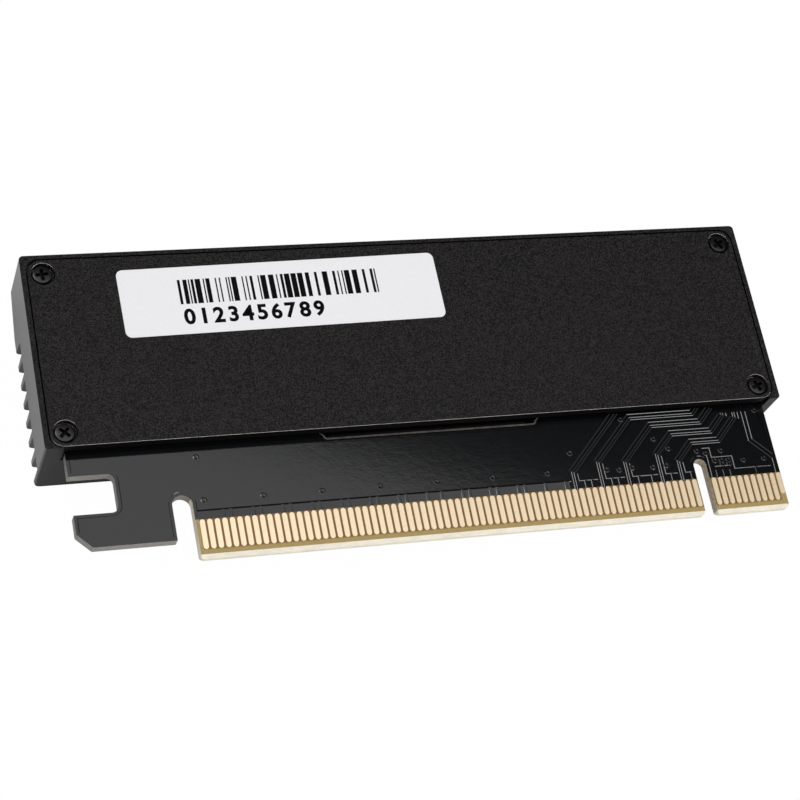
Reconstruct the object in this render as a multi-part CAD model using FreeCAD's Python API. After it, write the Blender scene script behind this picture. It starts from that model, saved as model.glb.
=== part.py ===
"""Adapter card that carries one M.2 solid state drive in a x16 card-edge slot.

Millimetres, +Z up.  The card lies as it rests: fins down, back plate up.
X runs along the card towards contact 1, Y runs away from the contact edge.
Origin: fin crests at z = 0, middle of the heatsink's length at x = 0, and
y = 0 half way between the contact edge and the heatsink's far side.
"""
import FreeCAD, Part
import math
import os

V = FreeCAD.Vector

# ------------------------------------------------------------ driving sizes
# Heatsink shell: an extruded, finned tray, made round the board and the socket
shell_left_wall = 2.85         # shell's left end to the board's left side
shell_right_wall = 1.8         # board's right side to the shell's right end
shell_near = 15.65             # contact edge to the shell's near side
groove_depth = 4.65            # crest to root of a fin groove
web = 1.0                      # groove root to the floor of the drive bay
bay_height = 2.7               # floor of the drive bay to the board
near_wall_tip = 0.5            # thin near wall beside the first groove
groove_count = 7
fin_pitch = 2.775
groove_root = 1.8              # groove width at its root
groove_mouth = 2.25            # groove width at the crests
brow_land = 0.4                # flat crest beyond the last groove
brow_step = 0.75               # height of the step behind that land
brow_run = 1.0                 # length of the step
brow_rise = 3.25               # height of the slope where it meets the far side
end_radius = 1.0               # crest corners at both ends
far_corner_radius = 0.6        # far corners, seen from above
near_corner_radius = 0.4
far_rim = 0.55                 # rim beside the plate, far side
end_rim = 0.7                  # rim beside the plate, both ends
boss_radius = 1.75
bay_ledge = 1.5                # board edge resting on the shell
bay_near_wall = 2.2
bay_clearance = 0.625          # each end of the socket to the bay's wall
bay_corner_radius = 1.0

# Back plate
plate_thickness = 1.5
plate_gap = 0.9                # plate to board
plate_clearance = 0.1          # plate to rim
plate_near_inset = 0.2         # plate's near edge behind the shell's near side
plate_corner_radius = 1.8
plate_rib = 1.2                # width of the ribs that clamp the board
rib_end_gap = 2.4              # ribs stop short of the screw bosses

# Cover screws
screw_inset = 2.05             # screw axis to the plate's edges
screw_head_radius = 1.3
screw_head_height = 0.8
screw_head_recess = 0.25       # head below the plate's face
screw_radius = 0.8
screw_length = 3.6
screw_hole_slack = 0.2         # hole deeper than the screw's tip
counterbore_radius = 1.62
plate_hole_radius = 0.9

# Circuit board
board_thickness = 1.6
board_far_gap = 0.35           # board to the plate recess's far wall
board_side_slack = 0.15        # board to its recess in the shell
boss_clearance = 0.2           # board to screw boss
mouth_slack = 0.4              # board to the left side of the shell's mouth
key_width = 1.9
key_depth = 8.25
hook_foot = 2.72               # hook's underside above the contact edge
hook_top = 7.25
hook_gap_top = 12.62
hook_length = 12.86            # hook's tip to the relief slot
hook_reach = 5.92              # depth of the gap above the hook
hook_chamfer = 1.93
hook_inner_radius = 0.95
relief_width = 2.69            # slot between the hook and the tongue
relief_depth = 8.88
tongue_corner = 0.55
bevel_run = 0.55               # bevel along the contact edge
bevel_depth = 0.5
standoff_to_end = 11.4         # stand-off to the board's left side

# Edge contacts
contact_pitch = 1.0
contact_width = 0.7
contact_start = 1.2            # contact edge to the near end of a contact
contact_length = 4.1
contact_thickness = 0.05
contact_chamfer = 0.2          # corners at both ends of a contact
short_contact_cut = 0.9
contacts_before_key = 11
contacts_after_key = 71
key_to_contact = 1.5           # key centre to the first contact on each side
tongue_margin = 0.85           # last contact on the left to the tongue's side
tongue_margin_right = 0.45
short_on_front = (1,)
short_on_back = (17, 31, 48, 81)

# Window in the board and the shell's locating tab in it
window_from_key = 22.7         # key centre to the window's right side
window_length = 30.6
window_near_gap = 0.45         # window's near side in front of the shell's
window_far_gap = 3.1           # window's far side to the bay's far wall
window_radius = 0.6
tab_wall = 0.45
tab_drop = 0.7                 # tab below the board's upper face
tab_left_gap = 0.9
tab_right_gap = 1.3

# Drive socket, stand-off and thermal pads
drive_length = 80.0            # socket stop to retaining screw
socket_width = 22.0
socket_depth = 8.0
socket_height = 2.2
socket_from_wall = 2.95        # housing's rear face to the end of the bay
socket_slot_width = 20.1
socket_slot_depth = 4.2
socket_slot_height = 0.9
socket_slot_from_board = 0.65
socket_chamfer = 0.35
drive_slack = 0.2              # drive's edge to the slot's bottom
key_rib_width = 1.0
key_rib_offset = 6.125
peg_radius = 0.5
peg_length = 1.2
peg_spacing = 19.0
peg_clearance = 0.05
pin_pitch = 0.5
pin_width = 0.22
pin_thickness = 0.12
upper_pin_count = 37
lower_pin_count = 36
nail_thickness = 0.2
nail_length = 2.4
nail_height = 1.2
nail_foot = 0.5
standoff_collar_radius = 2.6
standoff_collar_height = 0.7
standoff_barrel_radius = 1.6
standoff_screw_radius = 1.0
drive_screw_head_radius = 1.9
drive_screw_head_height = 0.6
drive_screw_length = 1.8
bay_pad_length = 68.0
bay_pad_width = 20.0
bay_pad_thickness = 0.5
bay_pad_from_socket = 4.0
plate_pad_length = 26.0
plate_pad_width = 16.0
plate_pad_reach = 2.9          # plate's underside to the pad's free face

# Power parts at the left end of the bay
inductor_size = 4.0
inductor_height = 1.8
inductor_chamfer = 0.5
regulator_length = 2.9
regulator_width = 1.6
regulator_height = 1.1
regulator_lead = 0.65
regulator_lead_width = 0.35
regulator_lead_thickness = 0.15
regulator_lead_pitch = 0.95
bulk_size = (3.2, 1.6, 1.6)    # length, width, height
bulk_count = 2
ceramic_size = (1.6, 0.8, 0.8)
ceramic_count = 4
resistor_size = (1.6, 0.8, 0.45)
resistor_count = 3
chip_gap = 0.8                 # between like parts in a row
part_gap = 1.4                 # between unlike parts, and from the bay's walls

# Serial label
label_length = 44.85
label_width = 10.05
label_thickness = 0.1
label_radius = 0.9
label_angle = 0.78             # degrees, as it was stuck on
label_from_left = 35.0         # shell's left end to the label's centre
label_from_far = 7.55          # shell's far side to the label's centre

# ------------------------------------------------------------ derived levels
bay_floor_z = groove_depth + web
board_z = bay_floor_z + bay_height
board_top_z = board_z + board_thickness
plate_z = board_top_z + plate_gap
shell_top_z = plate_z + plate_thickness

# Across the card: the bay takes the socket, and the shell takes the bay
bay_width = socket_width + 2 * bay_clearance
bay_far_wall = bay_ledge + board_far_gap + far_rim
shell_width = bay_near_wall + bay_width + bay_far_wall
card_width = shell_near + shell_width
edge_y = -card_width / 2
near_y = edge_y + shell_near
far_y = card_width / 2
plate_near_y = near_y + plate_near_inset
plate_far_y = far_y - far_rim - plate_clearance
board_far_y = far_y - far_rim - board_far_gap
bay_near_y = near_y + bay_near_wall
bay_far_y = bay_near_y + bay_width
bay_middle_y = (bay_near_y + bay_far_y) / 2
window_near_y = near_y - window_near_gap
window_far_y = bay_far_y - window_far_gap

# Along the card: the contacts set the tongue, the drive the board, and the board the shell
left_run = (contacts_after_key - 1) * contact_pitch
right_run = (contacts_before_key - 1) * contact_pitch
tongue_length = tongue_margin + left_run + 2 * key_to_contact + right_run + tongue_margin_right
socket_stop = bay_ledge + socket_from_wall + socket_depth - socket_slot_depth + drive_slack
board_length = socket_stop + drive_length + standoff_to_end
shell_length = shell_left_wall + board_length + shell_right_wall
half_length = shell_length / 2
board_left = shell_left_wall - half_length
board_right = half_length - shell_right_wall
tongue_right = board_right
tongue_left = tongue_right - tongue_length
first_right_x = tongue_right - tongue_margin_right - right_run
key_x = first_right_x - key_to_contact
first_left_x = key_x - key_to_contact
plate_half_length = half_length - end_rim - plate_clearance
bay_left = board_left + bay_ledge
bay_right = board_right - bay_ledge
window_right_x = key_x - window_from_key
window_left_x = window_right_x - window_length
screw_places = [
    (x, y)
    for x in (screw_inset - plate_half_length, plate_half_length - screw_inset)
    for y in (plate_near_y + screw_inset, plate_far_y - screw_inset)
]

socket_back = bay_right - socket_from_wall
socket_front = socket_back - socket_depth
socket_low_z = board_z - socket_height
slot_top_z = board_z - socket_slot_from_board
slot_low_z = slot_top_z - socket_slot_height
standoff_x = board_left + standoff_to_end

through = 1.0                  # how far cutting tools stand clear of a face
flat = 1e-3                    # short flat between the two arcs of a round end


# ------------------------------------------------------------ drawing helpers
def rounded_wire(corners, z):
    """Closed wire through (x, y, radius) corners, with an arc at each radius."""
    edges = []
    ends = []
    count = len(corners)
    for i in range(count):
        x, y, radius = corners[i]
        here = V(x, y, z)
        back = V(corners[i - 1][0], corners[i - 1][1], z) - here
        ahead = V(corners[(i + 1) % count][0], corners[(i + 1) % count][1], z) - here
        if radius <= 0:
            ends.append((here, here))
            continue
        half = back.getAngle(ahead) / 2
        run = radius / math.tan(half)
        back.normalize()
        ahead.normalize()
        start = here + back * run
        stop = here + ahead * run
        middle = back + ahead
        middle.normalize()
        centre_distance = radius / math.sin(half)
        top = here + middle * (centre_distance - radius)
        edges.append(Part.Arc(start, top, stop).toShape())
        ends.append((start, stop))
    for i in range(count):
        start = ends[i - 1][1]
        stop = ends[i][0]
        if start.distanceToPoint(stop) > 1e-6:
            edges.append(Part.LineSegment(start, stop).toShape())
    return Part.Wire(Part.__sortEdges__(edges))


def prism(corners, low, high):
    """Solid with a rounded outline in plan, from level low to level high."""
    return Part.Face(rounded_wire(corners, low)).extrude(V(0, 0, high - low))


def box(x0, x1, y0, y1, z0, z1):
    return Part.makeBox(x1 - x0, y1 - y0, z1 - z0, V(x0, y0, z0))


def plate_shape(x0, x1, y0, y1, z0, z1, radius):
    corners = [(x0, y0, radius), (x1, y0, radius), (x1, y1, radius), (x0, y1, radius)]
    return prism(corners, z0, z1)


def chamfered_corners(x0, x1, y0, y1, chamfer):
    """Outline of a rectangle with its four corners cut off."""
    return [
        (x0 + chamfer, y0, 0),
        (x1 - chamfer, y0, 0),
        (x1, y0 + chamfer, 0),
        (x1, y1 - chamfer, 0),
        (x1 - chamfer, y1, 0),
        (x0 + chamfer, y1, 0),
        (x0, y1 - chamfer, 0),
        (x0, y0 + chamfer, 0),
    ]


def cylinder(x, y, radius, z0, z1):
    return Part.makeCylinder(radius, z1 - z0, V(x, y, z0))


def side_profile(points, y0, width):
    """Solid with an outline of (x, z) points, as wide as said along Y."""
    outline = Part.makePolygon([V(x, y0, z) for x, z in points + points[:1]])
    return Part.Face(outline).extrude(V(0, width, 0))


def end_profile(points, x0, length):
    """Solid with an outline of (y, z) points, as long as said along X."""
    outline = Part.makePolygon([V(x0, y, z) for y, z in points + points[:1]])
    return Part.Face(outline).extrude(V(length, 0, 0))


def joined(solids):
    whole = solids[0]
    if len(solids) > 1:
        whole = whole.fuse(solids[1:])
    return whole.removeSplitter()


def group(solids):
    return Part.makeCompound(solids)


# ------------------------------------------------------------ heatsink shell
def shell_blank():
    """Extruded outline with its sloped brow, then rounded in plan and at the crests."""
    brow_y = near_y + near_wall_tip + (groove_count - 1) * fin_pitch + groove_mouth + brow_land
    section = [
        (near_y, 0),
        (brow_y, 0),
        (brow_y + brow_run, brow_step),
        (far_y, brow_rise),
        (far_y, shell_top_z),
        (near_y, shell_top_z),
    ]
    blank = end_profile(section, -half_length, shell_length)
    plan = prism([
        (-half_length, near_y, near_corner_radius),
        (half_length, near_y, near_corner_radius),
        (half_length, far_y, far_corner_radius),
        (-half_length, far_y, far_corner_radius),
    ], -through, shell_top_z + through)
    crests = Part.makeBox(shell_length, shell_width + 2 * through, shell_top_z + end_radius,
                          V(-half_length, near_y - through, 0))
    low_edges = [
        edge for edge in crests.Edges
        if edge.BoundBox.ZMax < 1e-6 and edge.BoundBox.XLength < 1e-6
    ]
    return blank.common(plan).common(crests.makeFillet(end_radius, low_edges))


def fin_grooves():
    """One tapered groove for each pitch, wider at the crests than at the root."""
    grooves = []
    for i in range(groove_count):
        y = near_y + near_wall_tip + i * fin_pitch
        grooves.append(end_profile([
            (y, -through),
            (y + groove_mouth + through * (groove_mouth - groove_root) / groove_depth, -through),
            (y + groove_root, groove_depth),
            (y, groove_depth),
        ], -half_length - through, shell_length + 2 * through))
    return grooves


def screw_bosses(radius, z0, z1):
    """Posts under the four screws; the far two run on into the shell's corners."""
    bosses = []
    for x, y in screw_places:
        bosses.append(cylinder(x, y, radius, z0, z1))
        side = math.copysign(half_length, x)
        if y > bay_middle_y:
            bosses.append(box(min(x, side), max(x, side), y, far_y, z0, z1))
    return bosses


def heatsink_shell():
    shell = shell_blank().cut(fin_grooves())
    recess = plate_clearance
    shell = shell.cut(plate_shape(
        -plate_half_length - recess, plate_half_length + recess,
        plate_near_y - recess, plate_far_y + recess,
        plate_z, shell_top_z + through, plate_corner_radius + recess))
    board_recess = box(board_left - board_side_slack, board_right + board_side_slack,
                       near_y - through, board_far_y + board_side_slack, board_z, plate_z)
    shell = shell.cut(board_recess.cut(screw_bosses(boss_radius, board_z - through, plate_z + through)))
    mouth = box(board_left - mouth_slack, board_right + board_side_slack,
                near_y - through, plate_near_y + plate_corner_radius, plate_z, shell_top_z + through)
    lower_mouth = box(board_left - mouth_slack, board_left,
                      near_y - through, plate_near_y, board_z, plate_z)
    shell = shell.cut([mouth, lower_mouth])
    bay = plate_shape(bay_left, bay_right, bay_near_y, bay_far_y,
                      bay_floor_z, board_z + through, bay_corner_radius)
    bay = bay.cut(screw_bosses(boss_radius, bay_floor_z - through, board_z + 2 * through))
    window_bay = box(window_left_x, window_right_x, near_y + tab_wall, bay_near_y + bay_corner_radius,
                     bay_floor_z, board_z + through)
    shell = shell.cut([bay, window_bay])
    tab = box(window_left_x + tab_left_gap, window_right_x - tab_right_gap,
              near_y, near_y + tab_wall, bay_floor_z, board_top_z - tab_drop)
    shell = shell.fuse(tab)
    hole_low = plate_z - shank_below_plate() - screw_hole_slack
    holes = [cylinder(x, y, screw_radius, hole_low, plate_z + through) for x, y in screw_places]
    return shell.cut(holes).removeSplitter()


# ------------------------------------------------------------ back plate and its screws
def head_seat_z():
    return shell_top_z - screw_head_recess - screw_head_height


def shank_below_plate():
    return screw_length - (head_seat_z() - plate_z)


def back_plate():
    """Plate with counterbored holes and the ribs that clamp the board under it."""
    plate = plate_shape(-plate_half_length, plate_half_length, plate_near_y, plate_far_y,
                        plate_z, shell_top_z, plate_corner_radius)
    screw_y = [y for x, y in screw_places]
    rib_near = min(screw_y) + rib_end_gap
    rib_far = max(screw_y) - rib_end_gap
    rib_top = plate_z + plate_thickness / 2
    ribs = [
        box(board_left, board_left + plate_rib, rib_near, rib_far, board_top_z, rib_top),
        box(board_right - plate_rib, board_right, rib_near, rib_far, board_top_z, rib_top),
        box(bay_left, bay_right, board_far_y - plate_rib, board_far_y, board_top_z, rib_top),
    ]
    bosses = screw_bosses(boss_radius + boss_clearance, board_top_z - through, plate_z)
    plate = joined([plate] + [rib.cut(bosses) for rib in ribs])
    for x, y in screw_places:
        plate = plate.cut(cylinder(x, y, counterbore_radius, head_seat_z(), shell_top_z + through))
        plate = plate.cut(cylinder(x, y, plate_hole_radius, plate_z - through, shell_top_z))
    return plate


def cover_screw(x, y):
    seat = head_seat_z()
    head = cylinder(x, y, screw_head_radius, seat, seat + screw_head_height)
    shank = cylinder(x, y, screw_radius, seat - screw_length, seat)
    return joined([head, shank])


# ------------------------------------------------------------ circuit board
def board_outline():
    """Corners of the board, from the tongue's left side round the hook and back."""
    foot_right = tongue_left - relief_width
    hook_tip = foot_right - hook_length
    relief_round = relief_width / 2 - flat
    relief_y = edge_y + relief_depth
    gap_x = hook_tip + hook_reach
    key_round = key_width / 2 - flat
    return [
        (tongue_right, edge_y, tongue_corner),
        (tongue_right, board_far_y, 0),
        (board_left, board_far_y, 0),
        (board_left, edge_y + hook_gap_top, 0),
        (gap_x, edge_y + hook_gap_top, hook_inner_radius),
        (gap_x, edge_y + hook_top, hook_inner_radius),
        (hook_tip, edge_y + hook_top, 0),
        (hook_tip, edge_y + hook_foot + hook_chamfer, 0),
        (hook_tip + hook_chamfer, edge_y + hook_foot, 0),
        (foot_right, edge_y + hook_foot, 0),
        (foot_right, relief_y, relief_round),
        (tongue_left, relief_y, relief_round),
        (tongue_left, edge_y, tongue_corner),
        (key_x - key_width / 2, edge_y, tongue_corner),
        (key_x - key_width / 2, edge_y + key_depth, key_round),
        (key_x + key_width / 2, edge_y + key_depth, key_round),
        (key_x + key_width / 2, edge_y, tongue_corner),
    ]


def edge_bevels():
    """Wedges that bevel the contact edge on both faces, along the tongue only."""
    start = tongue_left
    length = tongue_right - tongue_left
    lower = [
        (edge_y, board_z),
        (edge_y + bevel_run, board_z),
        (edge_y, board_z + bevel_depth),
    ]
    upper = [
        (edge_y, board_top_z),
        (edge_y + bevel_run, board_top_z),
        (edge_y, board_top_z - bevel_depth),
    ]
    return [end_profile(lower, start, length), end_profile(upper, start, length)]


def peg_places():
    x = (socket_front + socket_back) / 2
    return [(x, bay_middle_y - peg_spacing / 2), (x, bay_middle_y + peg_spacing / 2)]


def circuit_board():
    board = prism(board_outline(), board_z, board_top_z)
    board = board.cut(edge_bevels())
    notch = screw_bosses(boss_radius + boss_clearance, board_z - through, board_top_z + through)
    window = plate_shape(window_left_x, window_right_x, window_near_y, window_far_y,
                         board_z - through, board_top_z + through, window_radius)
    holes = [cylinder(x, y, peg_radius + peg_clearance, board_z - through, board_top_z + through)
             for x, y in peg_places()]
    holes.append(cylinder(standoff_x, bay_middle_y, standoff_barrel_radius,
                          board_z - through, board_top_z + through))
    return board.cut(notch + [window] + holes)


# ------------------------------------------------------------ edge contacts
def contact(x, near, z0, z1):
    """One gold finger with chamfered ends."""
    half = contact_width / 2
    far = edge_y + contact_start + contact_length
    return prism(chamfered_corners(x - half, x + half, near, far, contact_chamfer), z0, z1)


def contact_row(short_numbers, z0, z1):
    """Every contact of one face, numbered from the right-hand end."""
    contacts = []
    for number in range(1, contacts_before_key + contacts_after_key + 1):
        if number <= contacts_before_key:
            x = first_right_x + (contacts_before_key - number) * contact_pitch
        else:
            x = first_left_x - (number - contacts_before_key - 1) * contact_pitch
        near = edge_y + contact_start
        if number in short_numbers:
            near += short_contact_cut
        contacts.append(contact(x, near, z0, z1))
    return group(contacts)


# ------------------------------------------------------------ drive socket
def pin_run():
    """Height of the two contact beams: just inside the slot's roof and floor."""
    return slot_top_z, slot_low_z - pin_thickness


def socket_housing():
    """Moulded body with the card slot, its key rib, channels for the pins, and pegs."""
    near = bay_middle_y - socket_width / 2
    far = bay_middle_y + socket_width / 2
    body = side_profile([
        (socket_front, socket_low_z + socket_chamfer),
        (socket_front + socket_chamfer, socket_low_z),
        (socket_back, socket_low_z),
        (socket_back, board_z),
        (socket_front, board_z),
    ], near, socket_width)
    slot_near = bay_middle_y - socket_slot_width / 2
    slot_far = bay_middle_y + socket_slot_width / 2
    slot = box(socket_front - through, socket_front + socket_slot_depth,
               slot_near, slot_far, slot_low_z, slot_top_z)
    rib_y = bay_middle_y - key_rib_offset
    key_rib = box(socket_front, socket_front + socket_slot_depth,
                  rib_y - key_rib_width / 2, rib_y + key_rib_width / 2, slot_low_z, slot_top_z)
    body = body.cut(slot.cut(key_rib))
    row_near = bay_middle_y - (upper_pin_count + 1) / 2 * pin_pitch
    row_far = bay_middle_y + (upper_pin_count + 1) / 2 * pin_pitch
    for level in pin_run():
        channel = box(socket_front + socket_chamfer, socket_back + through,
                      row_near, row_far, level, level + pin_thickness)
        body = body.cut(channel)
    pegs = [cylinder(x, y, peg_radius, board_z, board_z + peg_length) for x, y in peg_places()]
    return joined([body] + pegs)


def socket_pin(y, level):
    """Flat spring beam that leaves the housing and turns up to the board."""
    front = socket_front + socket_chamfer
    outer = socket_back + pin_thickness
    return side_profile([
        (front, level),
        (outer, level),
        (outer, board_z),
        (socket_back, board_z),
        (socket_back, level + pin_thickness),
        (front, level + pin_thickness),
    ], y - pin_width / 2, pin_width)


def socket_pins(count, level):
    """One row of pins; the shorter row stands half a pitch aside from the longer."""
    first_y = bay_middle_y - (count - 1) / 2 * pin_pitch
    return group([socket_pin(first_y + i * pin_pitch, level) for i in range(count)])


def solder_nail(side):
    """Angle at one end of the socket: one leg on the housing, one on the board."""
    middle = (socket_front + socket_back) / 2
    x0 = middle - nail_length / 2
    x1 = middle + nail_length / 2
    inner = bay_middle_y + side * socket_width / 2
    outer = inner + side * nail_thickness
    foot = inner + side * nail_foot
    leg = box(x0, x1, min(inner, outer), max(inner, outer), board_z - nail_height, board_z)
    base = box(x0, x1, min(inner, foot), max(inner, foot), board_z - nail_thickness, board_z)
    return joined([leg, base])


# ------------------------------------------------------------ drive stand-off
def standoff():
    low = board_z - standoff_collar_height
    collar = cylinder(standoff_x, bay_middle_y, standoff_collar_radius, low, board_z)
    barrel = cylinder(standoff_x, bay_middle_y, standoff_barrel_radius, board_z, board_top_z)
    bore = cylinder(standoff_x, bay_middle_y, standoff_screw_radius, low - through, board_top_z + through)
    return joined([collar, barrel]).cut(bore)


def drive_screw():
    """Screw that holds the drive; with no drive fitted its head sits on the collar."""
    seat = board_z - standoff_collar_height
    low = seat - drive_screw_head_height
    head = cylinder(standoff_x, bay_middle_y, drive_screw_head_radius, low, seat)
    shank = cylinder(standoff_x, bay_middle_y, standoff_screw_radius, seat, seat + drive_screw_length)
    return joined([head, shank])


# ------------------------------------------------------------ thermal pads
def bay_thermal_pad():
    right = socket_front - bay_pad_from_socket
    half = bay_pad_width / 2
    return box(right - bay_pad_length, right, bay_middle_y - half, bay_middle_y + half,
               bay_floor_z, bay_floor_z + bay_pad_thickness)


def plate_thermal_pad():
    middle = (window_left_x + window_right_x) / 2
    half = plate_pad_length / 2
    width = plate_pad_width / 2
    return box(middle - half, middle + half, bay_middle_y - width, bay_middle_y + width,
               plate_z - plate_pad_reach, plate_z)


# ------------------------------------------------------------ power parts
def chip(size, x, y):
    """Small part under the board, its length across the card."""
    length, width, height = size
    return box(x - width / 2, x + width / 2, y - length / 2, y + length / 2, board_z - height, board_z)


def chip_row(size, count, x, start_y, way):
    """Row of like parts that starts at start_y and runs towards +Y or -Y."""
    length = size[0]
    first_y = start_y + way * length / 2
    return group([chip(size, x, first_y + way * i * (length + chip_gap)) for i in range(count)])


def inductor_place():
    x = bay_left + part_gap + inductor_size / 2
    y = bay_far_y - part_gap - inductor_size / 2
    return x, y


def power_inductor():
    """Square block with chamfered corners."""
    x, y = inductor_place()
    half = inductor_size / 2
    return prism(chamfered_corners(x - half, x + half, y - half, y + half, inductor_chamfer),
                 board_z - inductor_height, board_z)


def regulator_place():
    x, y = inductor_place()
    return x, y - inductor_size / 2 - part_gap - regulator_length / 2


def regulator_body():
    """Small moulded package, lifted off the board by its leads."""
    x, y = regulator_place()
    half_width = regulator_width / 2
    half = regulator_length / 2
    return box(x - half_width, x + half_width, y - half, y + half,
               board_z - regulator_height, board_z - regulator_lead_thickness)


def regulator_leads():
    """Gull-wing leads, three on each long side."""
    x, y = regulator_place()
    leads = []
    for side in (-1, 1):
        body_side = x + side * regulator_width / 2
        drop = board_z - regulator_height / 2
        thick = regulator_lead_thickness
        outline = [
            (body_side, drop),
            (body_side + side * thick, drop),
            (body_side + side * thick, board_z - thick),
            (body_side + side * regulator_lead, board_z - thick),
            (body_side + side * regulator_lead, board_z),
            (body_side, board_z),
        ]
        for step in (-1, 0, 1):
            lead_y = y + step * regulator_lead_pitch - regulator_lead_width / 2
            leads.append(side_profile(outline, lead_y, regulator_lead_width))
    return group(leads)


def second_row_x():
    """Middle of the row of small chips beside the inductor."""
    return inductor_place()[0] + inductor_size / 2 + part_gap


def bulk_capacitors():
    return chip_row(bulk_size, bulk_count, inductor_place()[0], bay_near_y + part_gap, 1)


def ceramic_capacitors():
    return chip_row(ceramic_size, ceramic_count, second_row_x(), bay_near_y + part_gap, 1)


def chip_resistors():
    return chip_row(resistor_size, resistor_count, second_row_x(), bay_far_y - part_gap, -1)


# ------------------------------------------------------------ serial label
def serial_label():
    x = -half_length + label_from_left
    y = far_y - label_from_far
    label = plate_shape(-label_length / 2, label_length / 2, -label_width / 2, label_width / 2,
                        shell_top_z, shell_top_z + label_thickness, label_radius)
    label.rotate(V(0, 0, 0), V(0, 0, 1), label_angle)
    label.translate(V(x, y, 0))
    return label


# ------------------------------------------------------------ assembly
upper_level, lower_level = pin_run()
nodes = {
    "heatsink_shell": heatsink_shell(),
    "back_plate": back_plate(),
    "cover_screws": group([cover_screw(x, y) for x, y in screw_places]),
    "circuit_board": circuit_board(),
    "front_edge_contacts": contact_row(short_on_front, board_top_z, board_top_z + contact_thickness),
    "rear_edge_contacts": contact_row(short_on_back, board_z - contact_thickness, board_z),
    "socket_housing": socket_housing(),
    "upper_socket_pins": socket_pins(upper_pin_count, upper_level),
    "lower_socket_pins": socket_pins(lower_pin_count, lower_level),
    "socket_solder_nails": group([solder_nail(-1), solder_nail(1)]),
    "drive_standoff": standoff(),
    "drive_screw": drive_screw(),
    "bay_thermal_pad": bay_thermal_pad(),
    "plate_thermal_pad": plate_thermal_pad(),
    "power_inductor": power_inductor(),
    "regulator_body": regulator_body(),
    "regulator_leads": regulator_leads(),
    "bulk_capacitors": bulk_capacitors(),
    "ceramic_capacitors": ceramic_capacitors(),
    "chip_resistors": chip_resistors(),
    "serial_label": serial_label(),
}

os.makedirs("parts", exist_ok=True)
for name, shape in nodes.items():
    shape.exportStep("parts/" + name + ".step")
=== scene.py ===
"""Dresses the drive adapter card: finishes, board relief, print, lights and camera.

Metres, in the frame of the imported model: fins down, back plate up, X along the card
towards contact 1, Y away from the contact edge.
"""
import math
import random

import bmesh
import bpy
from bpy.props import FloatProperty, FloatVectorProperty, IntProperty, PointerProperty
from mathutils import Matrix, Vector


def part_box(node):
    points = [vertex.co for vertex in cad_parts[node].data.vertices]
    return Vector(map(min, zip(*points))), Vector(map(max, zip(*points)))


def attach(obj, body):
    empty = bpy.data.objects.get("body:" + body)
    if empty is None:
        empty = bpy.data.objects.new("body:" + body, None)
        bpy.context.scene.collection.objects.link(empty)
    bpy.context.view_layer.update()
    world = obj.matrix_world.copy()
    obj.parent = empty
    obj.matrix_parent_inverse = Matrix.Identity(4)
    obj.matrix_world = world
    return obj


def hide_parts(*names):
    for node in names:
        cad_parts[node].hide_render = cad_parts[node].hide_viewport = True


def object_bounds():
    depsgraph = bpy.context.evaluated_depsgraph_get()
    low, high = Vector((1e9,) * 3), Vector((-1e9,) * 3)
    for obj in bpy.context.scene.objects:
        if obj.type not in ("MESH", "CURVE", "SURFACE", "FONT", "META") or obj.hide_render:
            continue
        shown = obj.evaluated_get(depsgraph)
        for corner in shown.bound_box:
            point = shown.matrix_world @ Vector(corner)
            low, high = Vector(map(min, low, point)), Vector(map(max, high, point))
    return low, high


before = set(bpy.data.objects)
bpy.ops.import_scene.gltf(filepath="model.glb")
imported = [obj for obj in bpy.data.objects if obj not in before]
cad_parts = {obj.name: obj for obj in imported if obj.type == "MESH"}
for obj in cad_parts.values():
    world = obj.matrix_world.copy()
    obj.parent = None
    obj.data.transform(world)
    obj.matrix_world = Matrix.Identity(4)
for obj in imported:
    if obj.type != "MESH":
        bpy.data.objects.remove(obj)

bl_info = {
    "name": "Drive adapter card",
    "version": (1, 0, 0),
    "blender": (4, 5, 0),
    "location": "View3D > Sidebar > Card",
    "description": "Builds the visible pieces and finishes of a drive adapter card",
    "category": "Object",
}

MM = 0.001
CAD_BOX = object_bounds()


# ------------------------------------------------------------ places from the frame
def mm_box(node):
    """Lowest and highest corner of a node, in millimetres."""
    low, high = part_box(node)
    return Vector(low) / MM, Vector(high) / MM


board_low, board_high = mm_box("circuit_board")
shell_low, shell_high = mm_box("heatsink_shell")
plate_low, plate_high = mm_box("back_plate")
pads_low, pads_high = mm_box("front_edge_contacts")
rear_low, rear_high = mm_box("rear_edge_contacts")
screws_low, screws_high = mm_box("cover_screws")
label_low, label_high = mm_box("serial_label")

contact_pitch = 1.0
contact_width = 0.7
contact_length = pads_high.y - pads_low.y
contacts_before_key = 11
contacts_after_key = 71
key_gap = 3                    # pitches from the last contact before the key to the next
short_front = (1,)
short_rear = (17, 31, 48, 81)
short_cut = 0.9                # how much shorter those contacts are
first_x = pads_high.x - contact_width / 2
key_x = first_x - (contacts_before_key - 1 + key_gap / 2) * contact_pitch
edge_y = board_low.y
board_z = board_high.z
tongue_margin = 0.5            # last contact to the tongue's left side
tongue_left = pads_low.x - tongue_margin
tongue_end = shell_low.y - 1.0  # the tongue's sides stop short of the shell
window_reach = 18.0            # the board's window lies within this of x = 0
head_radius = 1.3
head_height = 0.8
sharp_angle = math.radians(30)  # edges sharper than this are broken or shown as corners
upright = 0.9                  # a face looks along an axis when its normal has this share on it


def contact_x(number):
    """Middle of a contact; a half number lies between two contacts."""
    if number <= contacts_before_key:
        return first_x - (number - 1) * contact_pitch
    return first_x - (number - 2 + key_gap) * contact_pitch


# ------------------------------------------------------------ sizes and colours
def linear(hex_colour):
    """Linear RGB of an sRGB hex colour."""
    values = [int(hex_colour[i:i + 2], 16) / 255 for i in (1, 3, 5)]
    return tuple(v / 12.92 if v <= 0.04045 else ((v + 0.055) / 1.055) ** 2.4
                 for v in values)


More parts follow.
